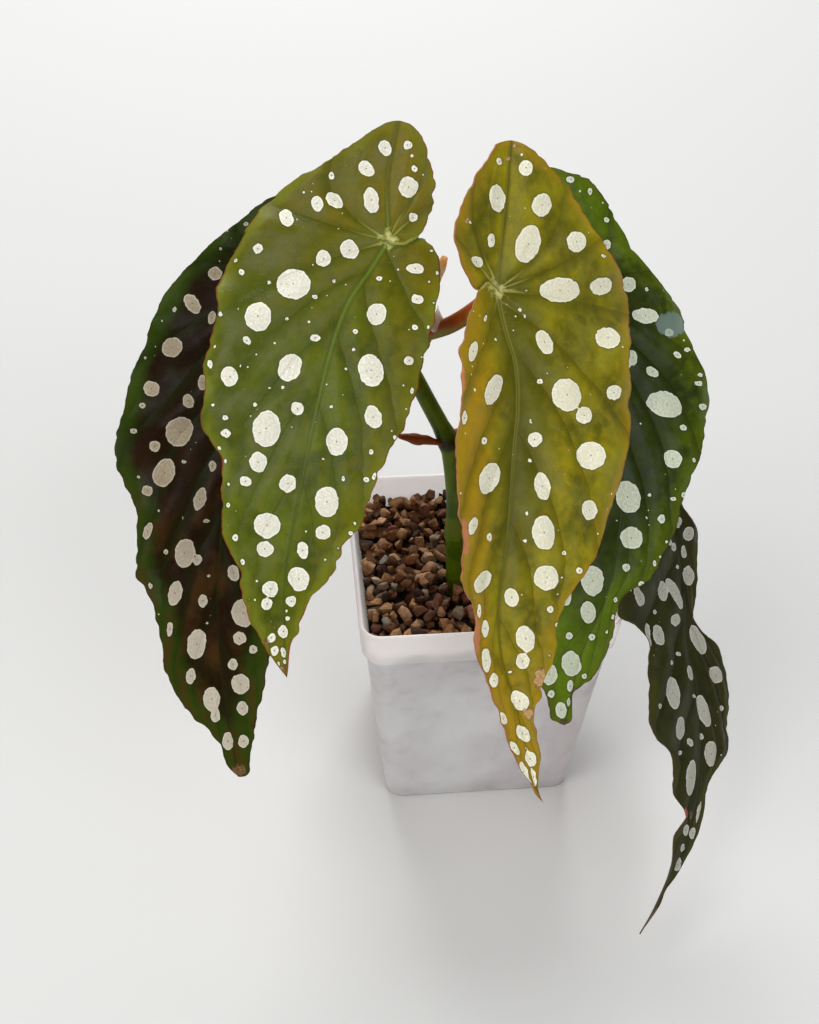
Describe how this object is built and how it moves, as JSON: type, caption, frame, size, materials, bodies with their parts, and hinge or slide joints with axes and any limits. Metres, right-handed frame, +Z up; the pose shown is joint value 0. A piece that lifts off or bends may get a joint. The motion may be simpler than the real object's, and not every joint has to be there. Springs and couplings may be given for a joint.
{
  "type": "potted polka dot begonia",
  "caption": "Young cane begonia with waved, angel-wing leaves spotted in white, growing upright from bark-brown granules in a small square tapered nursery pot.",
  "frame": {"origin": "middle of the flat underside of the pot", "axes": "+Z up out of the pot; -Y towards the front, where the two nearest leaves hang; +X to the right seen from the front"},
  "size_m": [0.162, 0.1226, 0.1922],
  "materials": {
    "pot_plastic": "white, slightly see-through moulded plastic, softly mottled where the granules press against it",
    "granules": "rough fired-clay and pumice granules in browns, tans and a few greys",
    "green_stem": "smooth satin green skin, darker at the nodes",
    "red_stalk": "satin, red-brown above and green below",
    "olive_blade": "glossy quilted olive leaf with silver-white spots, deep red underneath",
    "golden_blade": "glossy golden-olive young leaf with silver-white spots, salmon underneath",
    "maroon_blade": "glossy dark green leaf flushed maroon, with pinkish-grey spots",
    "green_blade": "glossy deep green leaf with silver-white spots, red underneath",
    "dusky_blade": "satin dusky olive-brown leaf with long silver spots",
    "papery_sheath": "cream papery bud sheath with a brown dried end",
    "clear_sheath": "thin glassy stipule",
    "dry_sheath": "dried red-brown stipule, dull and wrinkled"
  },
  "bodies": {
    "root": {"pot": "pot_plastic", "substrate": "granules", "stem": "green_stem", "leaf_left_front": "olive_blade", "stalk_left_front": "red_stalk", "leaf_right_front": "golden_blade", "stalk_right_front": "red_stalk", "leaf_left_rear": "maroon_blade", "stalk_left_rear": "red_stalk", "leaf_right_rear": "green_blade", "stalk_right_rear": "red_stalk", "leaf_low_right": "dusky_blade", "stalk_low_right": "red_stalk", "bud_sheath": "papery_sheath", "clear_stipule": "clear_sheath", "dry_stipule": "dry_sheath"}
  },
  "joints": []
}
